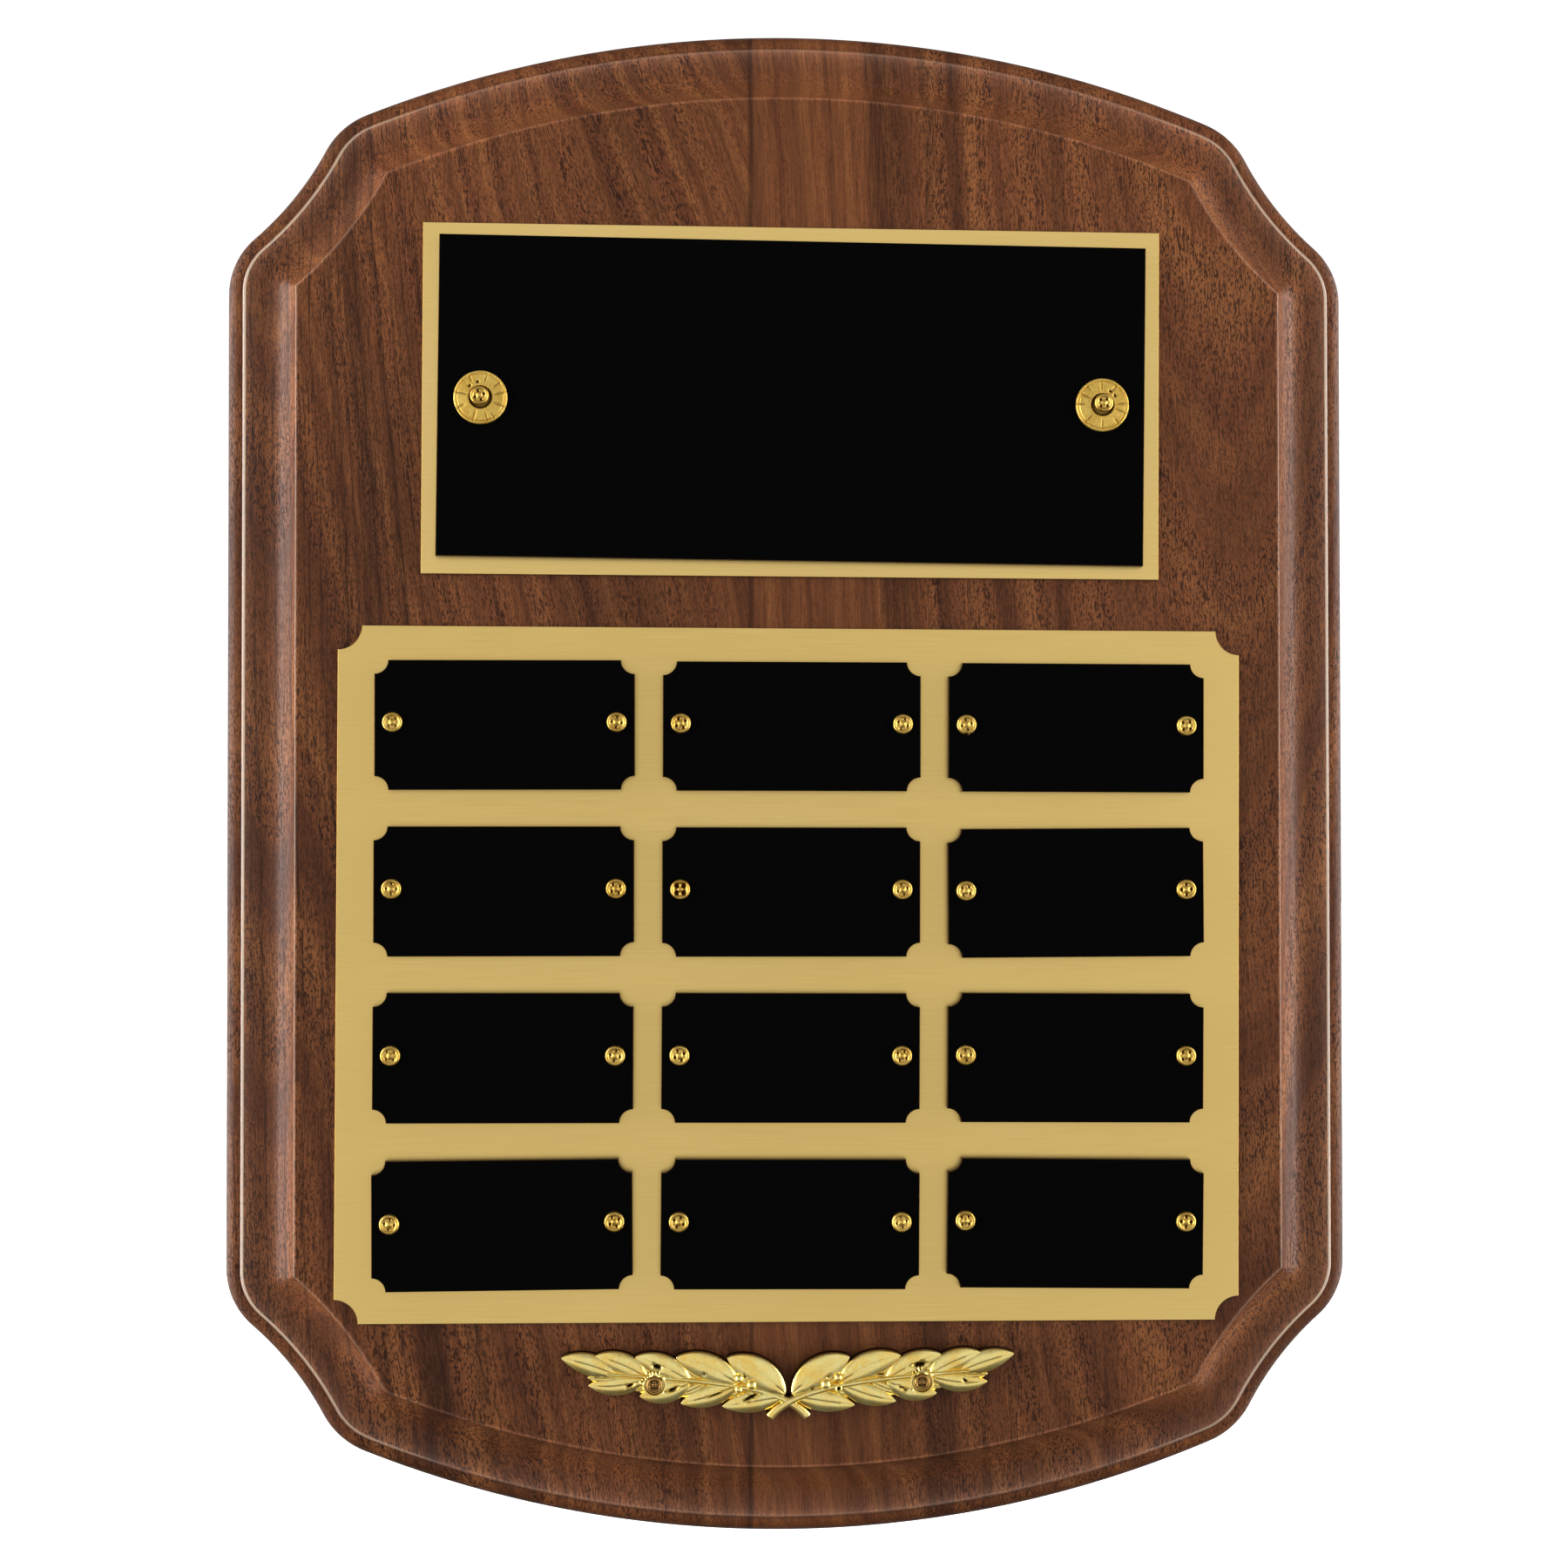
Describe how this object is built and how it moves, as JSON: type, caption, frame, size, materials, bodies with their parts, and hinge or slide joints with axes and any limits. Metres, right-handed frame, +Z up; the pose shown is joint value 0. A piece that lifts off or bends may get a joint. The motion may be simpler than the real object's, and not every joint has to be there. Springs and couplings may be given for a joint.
{
  "type": "wall plaque",
  "caption": "Scroll-cornered wooden wall plaque with a routed moulding, a black header plate on brass, a brass grid of black nameplates and a cast laurel spray.",
  "frame": {"origin": "centre of the board's back face, where it meets the wall", "axes": "+Z up as it hangs, +Y into the wall, so the front looks along -Y; +X to the right seen from the front"},
  "size_m": [0.266, 0.0248, 0.356],
  "materials": {
    "walnut": "satin lacquered solid walnut",
    "brushed_brass": "fine horizontal brushed, lacquered",
    "black_plate": "satin black coated engraving brass",
    "gilded_fastener": "bright gilded",
    "cast_gold": "bright gold plated casting"
  },
  "bodies": {
    "root": {"board": "walnut", "header_backing": "brushed_brass", "header_plate": "black_plate", "header_rosette_left": "gilded_fastener", "header_pin_left": "gilded_fastener", "header_rosette_right": "gilded_fastener", "header_pin_right": "gilded_fastener", "grid_backing": "brushed_brass", "nameplate_row1_column1": "black_plate", "nameplate_pin_row1_column1_left": "gilded_fastener", "nameplate_pin_row1_column1_right": "gilded_fastener", "nameplate_row1_column2": "black_plate", "nameplate_pin_row1_column2_left": "gilded_fastener", "nameplate_pin_row1_column2_right": "gilded_fastener", "nameplate_row1_column3": "black_plate", "nameplate_pin_row1_column3_left": "gilded_fastener", "nameplate_pin_row1_column3_right": "gilded_fastener", "nameplate_row2_column1": "black_plate", "nameplate_pin_row2_column1_left": "gilded_fastener", "nameplate_pin_row2_column1_right": "gilded_fastener", "nameplate_row2_column2": "black_plate", "nameplate_pin_row2_column2_left": "gilded_fastener", "nameplate_pin_row2_column2_right": "gilded_fastener", "nameplate_row2_column3": "black_plate", "nameplate_pin_row2_column3_left": "gilded_fastener", "nameplate_pin_row2_column3_right": "gilded_fastener", "nameplate_row3_column1": "black_plate", "nameplate_pin_row3_column1_left": "gilded_fastener", "nameplate_pin_row3_column1_right": "gilded_fastener", "nameplate_row3_column2": "black_plate", "nameplate_pin_row3_column2_left": "gilded_fastener", "nameplate_pin_row3_column2_right": "gilded_fastener", "nameplate_row3_column3": "black_plate", "nameplate_pin_row3_column3_left": "gilded_fastener", "nameplate_pin_row3_column3_right": "gilded_fastener", "nameplate_row4_column1": "black_plate", "nameplate_pin_row4_column1_left": "gilded_fastener", "nameplate_pin_row4_column1_right": "gilded_fastener", "nameplate_row4_column2": "black_plate", "nameplate_pin_row4_column2_left": "gilded_fastener", "nameplate_pin_row4_column2_right": "gilded_fastener", "nameplate_row4_column3": "black_plate", "nameplate_pin_row4_column3_left": "gilded_fastener", "nameplate_pin_row4_column3_right": "gilded_fastener", "laurel_spray": "cast_gold", "laurel_pin_left": "gilded_fastener", "laurel_pin_right": "gilded_fastener"}
  },
  "joints": []
}
